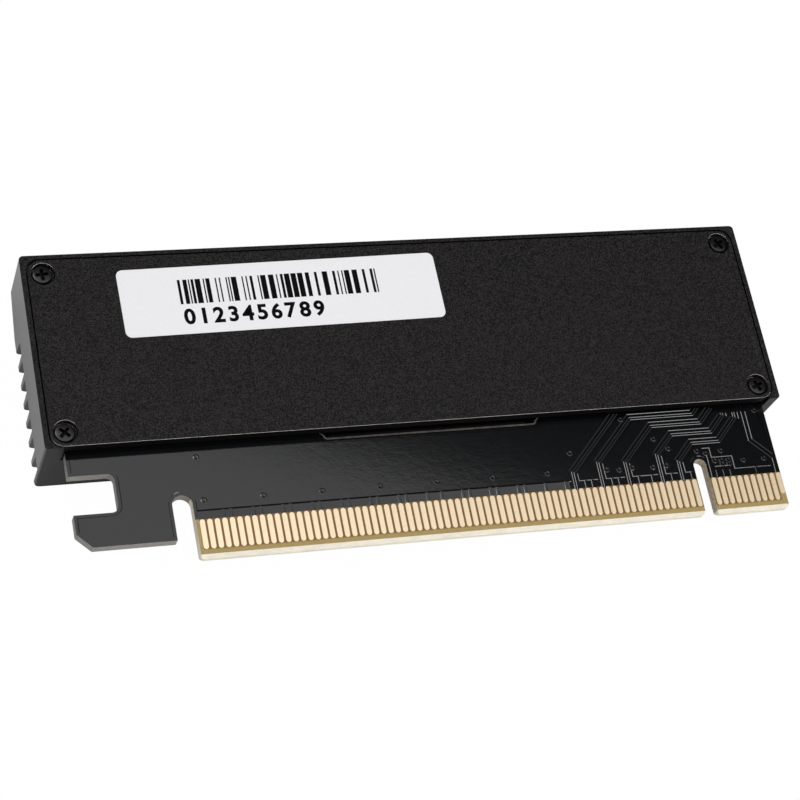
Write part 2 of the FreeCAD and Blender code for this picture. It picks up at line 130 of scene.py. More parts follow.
def size(name, default, description):
    """Length that a user may change, in millimetres."""
    return FloatProperty(name=name, description=description, default=default, min=0.0,
                         precision=3)


def tint(name, default, description):
    """Colour that a user may change, from its sRGB hex value."""
    return FloatVectorProperty(name=name, description=description, default=linear(default),
                               subtype="COLOR", size=3, min=0.0, max=1.0)


class CardSizes(bpy.types.PropertyGroup):
    shell_break: size("Shell edge break", 0.12, "Rounding of the shell's edges, mm")
    plate_gap: size("Plate gap", 0.1, "Seen between the back plate and the shell, mm")
    plate_break: size("Plate edge break", 0.19, "Chamfer round the back plate, mm")
    board_break: size("Board edge break", 0.09, "Worn edge of the routed board, mm")
    mask_end: size("Mask end", 5.35, "Contact edge to the end of the solder mask, mm")
    pour_edge: size("Pour edge", 6.38, "Contact edge to the near edge of the copper pour, mm")
    pour_margin: size("Pour margin", 0.4, "Board edge to the copper pour, mm")
    copper_height: size("Copper height", 0.036, "Copper under the mask above the bare board, mm")
    copper_slope: size("Copper slope", 0.09, "Width of the mask's slope at a copper edge, mm")
    trace_width: size("Trace width", 0.27, "Width of a trace at its foot, mm")
    pair_spacing: size("Pair spacing", 0.34, "Middle to middle of a pair's traces, mm")
    channel_width: size("Channel width", 1.14, "Gap in the pour round a pair, mm")
    stub_width: size("Stub width", 0.5, "Copper from a ground contact to the pour, mm")
    rim_width: size("Rim width", 0.24, "Bare laminate round the window, mm")
    via_radius: size("Via radius", 0.46, "Radius of a tented via's rim, mm")
    cross_span: size("Cross span", 2.0, "Length of a screw's cross recess, mm")
    cross_width: size("Cross width", 0.55, "Width of a screw's cross recess, mm")
    cross_depth: size("Cross depth", 0.6, "Depth of a screw's cross recess, mm")
    head_dome: size("Head dome", 0.12, "Height of the screw head's rounded rim, mm")
    bar_count: IntProperty(name="Bars", description="Bars in the barcode", default=34, min=1)


class CardColours(bpy.types.PropertyGroup):
    anodised: tint("Anodised", "#151414", "Black anodised aluminium")
    blasted: tint("Blasted", "#1F1D1D", "Black anodised aluminium, bead blasted")
    # A darker black painted as shade: on the plate's near wall and on the floor of the screws' cross
    # recesses.
    dull: tint("Sheared wall", "#080707", "Black anodised aluminium at a sheared wall")
    # A light grey painted as a highlight along the plate's near edge.
    machined: tint("Machined edge", "#D2CACA", "Black anodised aluminium at a machined edge")
    mask: tint("Solder mask", "#0A0B0D", "Satin black solder mask")
    laminate: tint("Laminate", "#A89159", "Bare glass-epoxy by the contact edge")
    # A browner tone painted as the shade between the contacts.
    laminate_shade: tint("Shaded laminate", "#7A5518", "Bare glass-epoxy between the contacts")
    ground_edge: tint("Ground edge", "#F0E8D6", "Bevel and sides of the contact tongue")
    scuffed_edge: tint("Scuffed edge", "#4F4944", "Laminate bared round the window")
    # A lighter tone painted as light on the key slot's walls, where the narrow slot keeps the lamps
    # out.
    sawn_edge: tint("Key slot wall", "#BDB29E", "Laminate torn by the cutter in the key slot")
    cut_edge: tint("Cut edge", "#8F8B85", "Routed edge of the laminate")
    gold: tint("Gold", "#FFEAC8", "Hard gold on the contacts")
    steel: tint("Blackened steel", "#0F0F0F", "Black zinc on the screws")
    label: tint("Label", "#F5F4F7", "White polyester label")
    ink: tint("Ink", "#070606", "Thermal print")
    floor: tint("Floor", "#F4F4F4", "Studio floor")


class CardView(bpy.types.PropertyGroup):
    azimuth: FloatProperty(name="Azimuth", description="Camera's way round, degrees",
                           default=-39.43)
    elevation: FloatProperty(name="Elevation", description="Camera's height, degrees",
                             default=60.22)
    roll: FloatProperty(name="Roll", description="Camera's tilt, degrees", default=31.71)
    lens: FloatProperty(name="Lens", description="Focal length, mm", default=100.76)
    distance: FloatProperty(name="Distance", description="Camera to the aim, mm", default=303.7)
    aim: FloatVectorProperty(name="Aim", description="Point looked at, mm",
                             default=(-3.06, -1.50, 9.95), size=3)


def sizes():
    """The card's sizes, as the scene holds them."""
    return bpy.context.scene.card_sizes


def colours():
    """The card's colours, as the scene holds them."""
    return bpy.context.scene.card_colours


# ------------------------------------------------------------ nodes and materials
def add(tree, kind, values=None, links=None, **settings):
    """Add one node with its settings, socket values and links from (node, output)."""
    node = tree.nodes.new(kind)
    for name, value in settings.items():
        setattr(node, name, value)
    for socket, value in (values or {}).items():
        node.inputs[socket].default_value = value
    for socket, (source, output) in (links or {}).items():
        tree.links.new(source.outputs[output], node.inputs[socket])
    return node


def new_material(name):
    """Empty node material with a Principled shader wired to its output."""
    material = bpy.data.materials.new(name)
    material.use_nodes = True
    tree = material.node_tree
    tree.nodes.clear()
    shader = add(tree, "ShaderNodeBsdfPrincipled")
    add(tree, "ShaderNodeOutputMaterial", links={"Surface": (shader, "BSDF")})
    return material, tree, shader


def rgba(colour, factor=1.0):
    """Linear colour with its alpha, lightened or darkened by a factor."""
    return (colour[0] * factor, colour[1] * factor, colour[2] * factor, 1.0)


def per_metre(grain_mm):
    """Texture scale that gives features of this size."""
    return 1.0 / (grain_mm * MM)


def grain_material(name, colour, grain, spread, bump, roughness,
                   metallic=0.0, level=0.5, stretch=None, hard=0.165):
    """Surface with a fine two-tone grain that also stands up as relief.

    Grain and bump are its size and height in millimetres. Spread is the share by which both
    tones part from the colour, and a smaller hard value draws a sharper line between them."""
    material, tree, shader = new_material(name)
    shader.inputs["Metallic"].default_value = metallic
    shader.inputs["Roughness"].default_value = roughness
    if metallic < 0.5:
        shader.inputs["IOR"].default_value = 1.5
        shader.inputs["Specular IOR Level"].default_value = level
    place = add(tree, "ShaderNodeTexCoord")
    turn = add(tree, "ShaderNodeMapping", links={"Vector": (place, "Object")})
    if stretch:
        turn.inputs["Scale"].default_value = stretch
    noise = add(tree, "ShaderNodeTexNoise",
                {"Scale": per_metre(grain), "Detail": 3.0, "Roughness": 0.65},
                {"Vector": (turn, "Vector")})
    ramp = add(tree, "ShaderNodeValToRGB", links={"Fac": (noise, "Fac")})
    middle = 0.515             # noise value that halves the surface
    for stop, side in zip(ramp.color_ramp.elements, (-1, 1)):
        stop.position = middle + side * hard
        stop.color = rgba(colour, 1.0 + side * spread)
    tree.links.new(ramp.outputs["Color"], shader.inputs["Base Color"])
    relief = add(tree, "ShaderNodeBump", {"Strength": 1.0, "Distance": bump * MM},
                 {"Height": (noise, "Fac")})
    tree.links.new(relief.outputs["Normal"], shader.inputs["Normal"])
    return material


def oxide_scale():
    """Painted shade on the floor of the cross recess: a darker black, dark from every side."""
    return grain_material("Black oxide scale", colours().dull, grain=0.15, spread=0.3,
                          bump=0.004, roughness=0.7, level=0.1)


def dull_anodised():
    """Painted shade on the plate's near wall: black anodised aluminium given a darker colour and
    almost no shine, so that it stays black under the bright edge."""
    return grain_material("Dull anodised aluminium", colours().dull, grain=0.25, spread=0.3,
                          bump=0.006, roughness=0.7, level=0.1)


def blasted_anodised():
    """Black anodised aluminium, bead blasted: matte brown-black with a sparkle of fine grit.

    The grit of about 0.1 mm is drawn at 0.15 mm, so that it shows."""
    return grain_material("Anodised blasted aluminium", colours().blasted, grain=0.146,
                          spread=1.3, bump=0.06, roughness=0.4, level=0.14, hard=0.05)


def cut_anodised():
    """Painted highlight for the plate's edge break: a light grey on black anodised aluminium, with a
    smoother gloss, so that it draws a light line.
    """
    return grain_material("Anodised machined edge", colours().machined, grain=0.3, spread=0.2,
                          bump=0.004, roughness=0.3)


def extruded_anodised():
    """Black anodised aluminium, extruded: as dark, with faint die lines along the length.

    The lines, about 0.1 mm apart, are drawn at 0.25 mm, so that they show."""
    return grain_material("Anodised extruded aluminium", colours().anodised, grain=0.25,
                          spread=0.3, bump=0.006, roughness=0.26, stretch=(0.04, 1.0, 1.0))


def black_steel():
    """Steel screw, zinc plated black: dark, with small sharp glints on its rims.

    The plating's fine grain is drawn at 0.15 mm, so that it shows."""
    return grain_material("Black zinc steel", colours().steel, grain=0.15, spread=0.3,
                          bump=0.004, roughness=0.24, level=0.45)


def solder_mask():
    """Black liquid solder mask, cured: smooth satin that mirrors a soft light, with an orange
    peel of about 0.8 mm that barely shows."""
    return grain_material("Black solder mask", colours().mask, grain=0.8, spread=0.12,
                          bump=0.005, roughness=0.1)


def shade_between_contacts(tree):
    """Share of the painted shade: rises from 0 beside the row of contacts and the board's edge to 1
    within.
    """
    place = add(tree, "ShaderNodeTexCoord")
    axes = add(tree, "ShaderNodeSeparateXYZ", links={"Vector": (place, "Object")})
    # Each border's axis, where the shade sets in, and how far it runs on until it is full
    borders = (("Y", edge_y + 1.05, 0.25), ("X", pads_low.x - 0.1, 0.1),
               ("X", pads_high.x - contact_width, -0.1))
    shade = None
    for axis, start, run in borders:
        low, high = sorted((start, start + run))
        rise = add(tree, "ShaderNodeMapRange", {"From Min": low * MM, "From Max": high * MM},
                   {"Value": (axes, axis)})
        if run < 0:
            rise.inputs["To Min"].default_value = 1.0
            rise.inputs["To Max"].default_value = 0.0
        if shade:
            shade = add(tree, "ShaderNodeMath", links={0: shade, 1: (rise, "Result")},
                        operation="MULTIPLY"), "Value"
        else:
            shade = rise, "Result"
    return shade


def bare_laminate():
    """Glass-epoxy without mask, mottled by its cloth of 0.5 mm: olive by the edge, with a browner
    painted shade between the contacts."""
    material = grain_material("Bare glass epoxy", colours().laminate, grain=0.5, spread=0.08,
                              bump=0.004, roughness=0.4)
    tree = material.node_tree
    shader = tree.nodes["Principled BSDF"]
    grain = shader.inputs["Base Color"].links[0].from_socket
    both = add(tree, "ShaderNodeMix", links={0: shade_between_contacts(tree)}, data_type="RGBA")
    first, second, result = both.inputs[6], both.inputs[7], both.outputs[2]    # the colours
    tree.links.new(grain, first)
    # The painted shade between the contacts.
    second.default_value = rgba(colours().laminate_shade)
    tree.links.new(result, shader.inputs["Base Color"])
    return material


def cut_laminate():
    """Routed glass-epoxy: grey-cream, with layers of glass cloth 0.2 mm thick along the edge."""
    return grain_material("Routed glass epoxy", colours().cut_edge, grain=0.2, spread=0.22,
                          bump=0.01, roughness=0.7, stretch=(0.25, 0.25, 1.0))


def scuffed_laminate():
    """Laminate bared by the router through the mask: grey-brown, in patches under 1 mm."""
    return grain_material("Scuffed glass epoxy", colours().scuffed_edge, grain=0.7, spread=0.5,
                          bump=0.006, roughness=0.6)


def sawn_laminate():
    """Laminate on the key slot's walls, painted lighter than a routed edge to stand in for the light
    that the narrow slot keeps out: a dull grey tan, darker than the bevel.
    """
    return grain_material("Sawn laminate", colours().sawn_edge, grain=0.25, spread=0.5,
                          bump=0.01, roughness=0.6)


def ground_laminate():
    """Glass-epoxy, ground on the bevel and sides of the tongue: a clean pale cream."""
    return grain_material("Ground glass epoxy", colours().ground_edge, grain=0.6, spread=0.06,
                          bump=0.006, roughness=0.6, stretch=(0.4, 0.4, 1.0))


def hard_gold():
    """Hard gold, plated over brushed copper: pale and warm, with a soft gloss.

    The brush marks are drawn at 0.3 mm, so that they show."""
    return grain_material("Hard gold", colours().gold, grain=0.3, spread=0.04, bump=0.002,
                          roughness=0.38, metallic=1.0)


def label_film():
    """White polyester film: even white with a faint satin."""
    return grain_material("White polyester film", colours().label, grain=0.4, spread=0.015,
                          bump=0.001, roughness=0.5)


def print_ink():
    """Thermal print, in dots of about 0.15 mm: near black, matte, slightly uneven."""
    return grain_material("Thermal print", colours().ink, grain=0.15, spread=0.3, bump=0.001,
                          roughness=0.8, level=0.1)


# ------------------------------------------------------------ mesh helpers
def linked(name, data):
    """New object of a mesh, curve, light or camera, linked to the scene."""
    piece = bpy.data.objects.new(name, data)
    bpy.context.scene.collection.objects.link(piece)
    return piece


def new_object(name, mesh, materials=()):
    """New object of a mesh, with its material slots."""
    piece = linked(name, mesh)
    for material in materials:
        mesh.materials.append(material)
    return piece


def mesh_from(shape, name, smooth=True):
    """Mesh of a finished bmesh, with soft curves and sharp corners, or flat all over."""
    mesh = bpy.data.meshes.new(name)
    shape.to_mesh(mesh)
    shape.free()
    for face in mesh.polygons:
        face.use_smooth = smooth
    if smooth:
        mesh.set_sharp_from_angle(angle=sharp_angle)
    return mesh


def evaluated_mesh(piece):
    """Plain mesh of a piece as its modifiers leave it, or of a text as it is drawn."""
    graph = bpy.context.evaluated_depsgraph_get()
    return bpy.data.meshes.new_from_object(piece.evaluated_get(graph), depsgraph=graph)


def apply_modifiers(piece):
    """Turn a piece and its modifiers into one plain mesh; a curve becomes a new object."""
    mesh = evaluated_mesh(piece)
    piece.modifiers.clear()
    if piece.type == "MESH":
        piece.data = mesh
        return piece
    name = piece.name
    bpy.data.objects.remove(piece)
    return linked(name, mesh)


def clean_faces(shape, near):
    """Join points nearer than this, in millimetres, and faces that lie in one plane."""
    bmesh.ops.remove_doubles(shape, verts=shape.verts, dist=near * MM)
    bmesh.ops.dissolve_limit(shape, angle_limit=math.radians(1), verts=shape.verts,
                             edges=shape.edges)


def merged_copy(node):
    """The CAD node's triangles merged into clean flat faces."""
    shape = bmesh.new()
    shape.from_mesh(bpy.data.objects[node].data)
    clean_faces(shape, 0.0005)
    return shape


def joined(pieces):
    """One bmesh of several pieces, which are then removed."""
    shape = bmesh.new()
    for piece in pieces:
        shape.from_mesh(piece.data)
        bpy.data.objects.remove(piece)
    return shape


def bevelled(piece, width, segments=2, slot=-1):
    """Break a piece's sharp edges, with a material slot of their own where given."""
    modifier = piece.modifiers.new("Edge break", "BEVEL")
    modifier.width = width * MM
    modifier.segments = segments
    modifier.limit_method = "ANGLE"
    modifier.angle_limit = sharp_angle
    modifier.harden_normals = True
    modifier.material = slot
    modifier.use_clamp_overlap = True
    return apply_modifiers(piece)


def settle(piece, slot, *nodes):
    """Tie a finished piece to the card, and hide the solids that it stands for."""
    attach(piece, "root")
    if nodes:
        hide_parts(*nodes)


def finish_node(node, material):
    """Give a CAD node that stays its material."""
    piece = bpy.data.objects[node]
    if not piece.material_slots:
        piece.data.materials.append(material)
    for slot in piece.material_slots:
        slot.material = material


# ------------------------------------------------------------ geometry node trees
def new_tree(name, inputs):
    """Geometry Nodes tree with named inputs; returns the tree and its group input."""
    tree = bpy.data.node_groups.new(name, "GeometryNodeTree")
    tree.interface.new_socket("Geometry", in_out="INPUT", socket_type="NodeSocketGeometry")
    for label, kind in inputs:
        tree.interface.new_socket(label, in_out="INPUT", socket_type=kind)
    tree.interface.new_socket("Geometry", in_out="OUTPUT", socket_type="NodeSocketGeometry")
    return tree, add(tree, "NodeGroupInput")


def finish_tree(tree, group, source, output):
    """End a tree in Realize Instances and Set Material."""
    real = add(tree, "GeometryNodeRealizeInstances", links={"Geometry": (source, output)})
    dressed = add(tree, "GeometryNodeSetMaterial",
                  links={"Geometry": (real, "Geometry"), "Material": (group, "Material")})
    add(tree, "NodeGroupOutput", links={"Geometry": (dressed, "Geometry")})


def run_tree(piece, tree, values):
    """Run a tree on a piece with its inputs set by identifier, and keep the plain mesh."""
    modifier = piece.modifiers.new(tree.name, "NODES")
    modifier.node_group = tree
    for item in tree.interface.items_tree:
        if item.item_type == "SOCKET" and item.in_out == "INPUT" and item.name in values:
            modifier[item.identifier] = values[item.name]
    return apply_modifiers(piece)


def contact_tree():
    """Round-ended contacts, one on each point."""
    tree, group = new_tree("Contact fingers", [
        ("Width", "NodeSocketFloat"), ("Length", "NodeSocketFloat"),
        ("Height", "NodeSocketFloat"), ("Material", "NodeSocketMaterial")])
    corner = 0.49              # radius of a corner, as a share of the contact's width
    outline = add(tree, "GeometryNodeCurvePrimitiveQuadrilateral",
                  links={"Width": (group, "Width"), "Height": (group, "Length")})
    radius = add(tree, "ShaderNodeMath", {1: corner}, {0: (group, "Width")},
                 operation="MULTIPLY")
    rounded = add(tree, "GeometryNodeFilletCurve", {"Count": 4, "Limit Radius": True},
                  {"Curve": (outline, "Curve"), "Radius": (radius, "Value")}, mode="POLY")
    face = add(tree, "GeometryNodeFillCurve", links={"Curve": (rounded, "Curve")}, mode="NGONS")
    raised = add(tree, "GeometryNodeExtrudeMesh", {"Individual": False},
                 {"Mesh": (face, "Mesh"), "Offset Scale": (group, "Height")})
    many = add(tree, "GeometryNodeInstanceOnPoints",
               links={"Points": (group, "Geometry"), "Instance": (raised, "Mesh")})
    finish_tree(tree, group, many, "Instances")
    return tree


def copies_tree():
    """One object on each point, turned by the point's own angle."""
    tree, group = new_tree("Copies on points", [
        ("Object", "NodeSocketObject"), ("Material", "NodeSocketMaterial")])
    source = add(tree, "GeometryNodeObjectInfo", links={"Object": (group, "Object")})
    angle = add(tree, "GeometryNodeInputNamedAttribute", {"Name": "turn"}, data_type="FLOAT")
    turn = add(tree, "ShaderNodeCombineXYZ", links={"Z": (angle, "Attribute")})
    many = add(tree, "GeometryNodeInstanceOnPoints",
               links={"Points": (group, "Geometry"), "Instance": (source, "Geometry"),
                      "Rotation": (turn, "Vector")})
    finish_tree(tree, group, many, "Instances")
    return tree


def strip_tree():
    """Low strip with sloped sides along each line of a curve.

    The section comes out upside down on a line, so its wide side is its top."""
    tree, group = new_tree("Strip along a line", [
        ("Foot", "NodeSocketFloat"), ("Top", "NodeSocketFloat"),
        ("Height", "NodeSocketFloat"), ("Material", "NodeSocketMaterial")])
    section = add(tree, "GeometryNodeCurvePrimitiveQuadrilateral", {"Offset": 0.0},
                  {"Bottom Width": (group, "Top"), "Top Width": (group, "Foot"),
                   "Height": (group, "Height")}, mode="TRAPEZOID")
    solid = add(tree, "GeometryNodeCurveToMesh", {"Fill Caps": True},
                {"Curve": (group, "Geometry"), "Profile Curve": (section, "Curve")})
    finish_tree(tree, group, solid, "Mesh")
    return tree


def points_mesh(name, places, turns=None):
    """Mesh of loose points, with an angle for each where given."""
    mesh = bpy.data.meshes.new(name)
    mesh.from_pydata([tuple(place) for place in places], [], [])
    attribute = mesh.attributes.new("turn", "FLOAT", "POINT")
    for i, value in enumerate(turns or [0.0] * len(places)):
        attribute.data[i].value = value
    return mesh


def line_curve(name, lines):
    """Curve object of straight-sided lines through the given points."""
    curve = bpy.data.curves.new(name, "CURVE")
    curve.dimensions = "3D"
    curve.twist_mode = "Z_UP"
    for line in lines:
        spline = curve.splines.new("POLY")
        spline.points.add(len(line) - 1)
        for point, place in zip(spline.points, line):
            point.co = (*place, 1.0)
    return linked(name, curve)


# ------------------------------------------------------------ shell, plate and screws
def build_shell():
    """Extruded shell, blasted on its rim and on the narrow face beside the board."""
    piece = new_object("finned_shell", mesh_from(merged_copy("heatsink_shell"), "finned_shell"),
                       [extruded_anodised(), blasted_anodised()])
    piece = bevelled(piece, sizes().shell_break)
    blasted = 1
    depth = 0.2                # how far in from the shell's outermost faces the blast reached
    for face in piece.data.polygons:
        rim = face.normal.z > upright and face.center.z > (shell_high.z - depth) * MM
        near = face.normal.y < -upright and face.center.y < (shell_low.y + depth) * MM
        if rim or near:
            face.material_index = blasted
    settle(piece, "anodised_shell", "heatsink_shell")


def build_plate():
    """Blasted plate with a fine gap to the shell, a painted highlight along its near edge, and
    painted shade on its near wall.
    """
    s = sizes()
    shape = merged_copy("back_plate")
    middle = (plate_low.x + plate_high.x) / 2 * MM
    narrow = 1 - 2 * s.plate_gap / (plate_high.x - plate_low.x)
    shallow = 1 - s.plate_gap / (plate_high.y - plate_low.y)
    for vert in shape.verts:
        vert.co.x = middle + (vert.co.x - middle) * narrow
        vert.co.y = plate_low.y * MM + (vert.co.y - plate_low.y * MM) * shallow
    blasted, machined, dull = range(3)
    piece = new_object("cover_plate", mesh_from(shape, "cover_plate"),
                       [blasted_anodised(), cut_anodised(), dull_anodised()])
    piece = bevelled(piece, s.plate_break, slot=machined)
    wall_depth = 0.3           # what lies this near to the near edge is part of its wall
    lean = 0.2                 # least share of a normal along an axis that counts as a slope
    for face in piece.data.polygons:
        near = face.center.y < (plate_low.y + wall_depth) * MM
        # The near wall takes the painted shade.
        if near and face.normal.z < lean:
            face.material_index = dull
        # Edge-break faces that don't face the near side lose the painted highlight, so that it lies
        # only along the near edge.
        elif face.material_index == machined and face.normal.y > -lean:
            face.material_index = blasted
    settle(piece, "anodised_plate", "back_plate")


def screw_shape():
    """One screw about its own axis, its head up from z = 0, before its recess is cut."""
    shank_radius = 0.8
    shank_length = screws_high.z - screws_low.z - head_height
    dome = sizes().head_dome
    section = [(0.0, head_height), (head_radius - 2 * dome, head_height),
               (head_radius - 0.6 * dome, head_height - 0.3 * dome),
               (head_radius, head_height - dome), (head_radius, 0.0),
               (shank_radius, 0.0), (shank_radius, -shank_length), (0.0, -shank_length)]
    shape = bmesh.new()
    spine = [shape.verts.new((r * MM, 0, z * MM)) for r, z in section]
    edges = [shape.edges.new(pair) for pair in zip(spine, spine[1:])]
    bmesh.ops.spin(shape, geom=spine + edges, cent=(0, 0, 0), axis=(0, 0, 1), steps=36,
                   angle=2 * math.pi, use_duplicate=False)
    bmesh.ops.remove_doubles(shape, verts=shape.verts, dist=0.001 * MM)
    bmesh.ops.recalc_face_normals(shape, faces=shape.faces)
    return shape


def recess_bar(length, width):
    """Tapered bar that cuts one arm of the cross recess across a screw's head."""
    s = sizes()
    taper = 0.7                # floor of the recess, as a share of its mouth
    floor = head_height - s.cross_depth
    top = head_height + 0.5    # clear of the head
    lower, upper = [], []
    shape = bmesh.new()
    for x, y in ((-1, -1), (1, -1), (1, 1), (-1, 1)):
        x, y = x * length / 2 * MM, y * width / 2 * MM
        lower.append(shape.verts.new((x * taper, y * taper, floor * MM)))
        upper.append(shape.verts.new((x, y, top * MM)))
    shape.faces.new(lower[::-1])
    shape.faces.new(upper)
    for i in range(4):
        j = (i + 1) % 4
        shape.faces.new((lower[i], lower[j], upper[j], upper[i]))
    return new_object("recess_bar", mesh_from(shape, "recess_bar"))


def cut(piece, cutter):
    """Cut one piece from another and keep the plain mesh."""
    modifier = piece.modifiers.new("Cut", "BOOLEAN")
    modifier.operation = "DIFFERENCE"
    modifier.solver = "EXACT"
    modifier.use_self = True
    modifier.object = cutter
    piece = apply_modifiers(piece)
    bpy.data.objects.remove(cutter)
    return piece


def build_screws():
    """Four screws, one at each corner of the plate, turned as they were driven."""
    steel = black_steel()
    screw = new_object("screw_pattern", mesh_from(screw_shape(), "screw_pattern"), [steel])
    span, width = sizes().cross_span, sizes().cross_width
    screw = cut(screw, recess_bar(span, width))
    screw = cut(screw, recess_bar(width, span))
    xs = (screws_low.x + head_radius, screws_high.x - head_radius)
    ys = (screws_low.y + head_radius, screws_high.y - head_radius)
    seat = screws_high.z - head_height
    places = [Vector((x, y, seat)) * MM for x in xs for y in ys]
    turns = [math.radians(angle) for angle in (48, 4, 24, 32)]
    piece = new_object("cross_head_screws", points_mesh("cross_head_screws", places, turns))
    piece = run_tree(piece, copies_tree(), {"Object": screw, "Material": steel})
    bpy.data.objects.remove(screw)
    piece.data.materials.append(oxide_scale())
    # The cross recess near each screw's axis takes the painted shade, slot 1.
    scale = 1
    mouth = (seat + head_height - 0.08) * MM    # what lies deeper by an axis is the recess
    for face in piece.data.polygons:
        off_axis = min((place.xy - face.center.xy).length for place in places)
        if off_axis < span / 2 * MM and face.center.z < mouth:
            face.material_index = scale
    piece.data.set_sharp_from_angle(angle=sharp_angle)
    settle(piece, "blackened_screw", "cover_screws")


# ------------------------------------------------------------ board
def in_window(place):
    """Whether a place on the board's edge belongs to its window."""
    return abs(place.x) < window_reach * MM and place.y > tongue_end * MM


def split_at(shape, y, faces):
    """Cut the given faces across Y at one place; the halves stay joined."""
    geometry = set(faces)
    for face in faces:
        geometry.update(face.edges)
        geometry.update(face.verts)
    bmesh.ops.bisect_plane(shape, geom=list(geometry), dist=1e-8, plane_co=(0, y, 0),
                           plane_no=(0, 1, 0))


def build_board():
    """Routed board: mask on both faces, bare laminate by the contacts, pale cut edges."""
    s = sizes()
    shape = merged_copy("circuit_board")
    mask_y = (edge_y + s.mask_end) * MM
    flat = [face for face in shape.faces if abs(face.normal.z) > upright]
    split_at(shape, mask_y, flat)
    mask, bare, routed, ground, lit_slot = range(5)
    piece = new_object("routed_board", mesh_from(shape, "routed_board"), [
        solder_mask(), bare_laminate(), cut_laminate(), ground_laminate(), sawn_laminate()])
    piece = bevelled(piece, s.board_break, segments=1)
    tongue_side = tongue_left - 0.2    # clear of the tongue's left side
    slot_reach, slot_start = 1.2, edge_y + 0.9    # round the key slot, above the ground bevel
    worn = 0.4                 # a slope with a normal more upright than this is a worn edge, in mask
    for face in piece.data.polygons:
        middle = face.center
        beside = middle.x > tongue_side * MM
        on_tongue = beside and middle.y < mask_y
        slope = abs(face.normal.z)
        if slope > upright or (slope > worn and not on_tongue) or in_window(middle):
            face.material_index = bare if on_tongue else mask
        # The key slot's walls take the painted light.
        elif abs(middle.x - key_x * MM) < slot_reach * MM and middle.y > slot_start * MM:
            face.material_index = lit_slot
        else:
            face.material_index = ground if beside and middle.y < tongue_end * MM else routed
    settle(piece, "board_mask", "circuit_board")


def build_contact_row(name, node, low, high, shorts):
    """One row of gold contacts, a few of them short, in the box of its CAD node."""
    gold = hard_gold()
    height = high.z - low.z
    everyone = range(1, contacts_before_key + contacts_after_key + 1)
    tree = contact_tree()
    pieces = []
    for kind, numbers, length in (
            ("long", [n for n in everyone if n not in shorts], contact_length),
            ("short", list(shorts), contact_length - short_cut)):
        places = [Vector((contact_x(n), high.y - length / 2, low.z)) * MM for n in numbers]
        piece = new_object(name + kind, points_mesh(name + kind, places))
        pieces.append(run_tree(piece, tree, {
            "Width": contact_width * MM, "Length": length * MM, "Height": height * MM,
            "Material": gold}))
    shape = joined(pieces)
    bmesh.ops.recalc_face_normals(shape, faces=shape.faces)
    row = new_object(name, mesh_from(shape, name), [gold])
    settle(row, "contact_gold", node)


# ------------------------------------------------------------ copper relief
# Places are in millimetres: x from the key notch, y from the contact edge.
ground_contacts = (4, 12, 15, 18, 20, 23, 24, 27, 28, 31, 34, 37, 38, 41, 42, 45, 46, 49, 51,
                   54, 55, 58, 59, 62, 63, 66, 67, 70, 71, 74, 75, 78, 79)
copper_start = contact_length + 1.1    # just short of the contacts' far ends
under_plate = 18.5             # where the traces stop, out of sight
trace_shift = 0.05             # traces leave this far to the left of a contact's middle
apron_contact = 30.5           # to the left of here the mask sags in an apron
power_places = (2.4, 3.45, 4.5)        # x of the three power contacts' stubs
foot_depth = 0.004             # the relief's feet lie this deep in the board's face
stub_drop = 0.003              # stubs stay this much below the pour that they run into
# Lane pairs: middle of their two contacts, y of the first bend, y of the level run, x where
# that run ends, and x where the pair turns straight up
lanes = (
    (13.5, 8.2, 10.75, 3.8, 7.2),
    (16.5, 9.4, 12.25, 3.0, 5.4),
    (21.5, 8.65, 13.75, 1.7, 3.8),
    (25.5, 8.95, 15.15, 0.8, 2.2),
    (29.5, 7.75, under_plate, 0.0, 1.0),
)


def spot(x, y, z=0.0):
    """Point on the board's upper face, or above it, in metres."""
    return Vector((key_x + x, edge_y + y, board_z + z)) * MM


def lane_line(contact, bend, level, end, up, aside):
    """Up from a contact, 45 degrees aside, along, 45 degrees on, and straight up.

    A line beside the lane's middle keeps its distance through the bends."""
    x = contact_x(contact) - key_x - trace_shift
    start = copper_start - 0.1
    turned = x + level - bend
    tilt = aside * math.tan(math.radians(22.5))
    line = [spot(x - aside, start), spot(x - aside, bend + tilt),
            spot(turned - tilt, level + aside)]
    if turned < end and level < under_plate:
        line += [spot(end - tilt, level + aside), spot(up - aside, level + up - end + tilt),
                 spot(up - aside, under_plate)]
    return line


def detect_line():
    """Up from the first contact, 45 degrees aside, and straight up."""
    shift, bend, up = 0.15, 7.55, 8.45
    x = contact_x(1) - key_x - shift
    return [spot(x, copper_start), spot(x, bend), spot(up, bend + x - up),
            spot(up, under_plate)]


def sense_line(*heights):
    """Straight up from the last contact before the key, through these heights."""
    x = contact_x(contacts_before_key) - key_x - trace_shift
    return [spot(x, copper_start)] + [spot(x, y) for y in heights]


def on_top(place):
    """Whether a place lies on the board's upper face."""
    return place.z > (board_z - 0.1) * MM


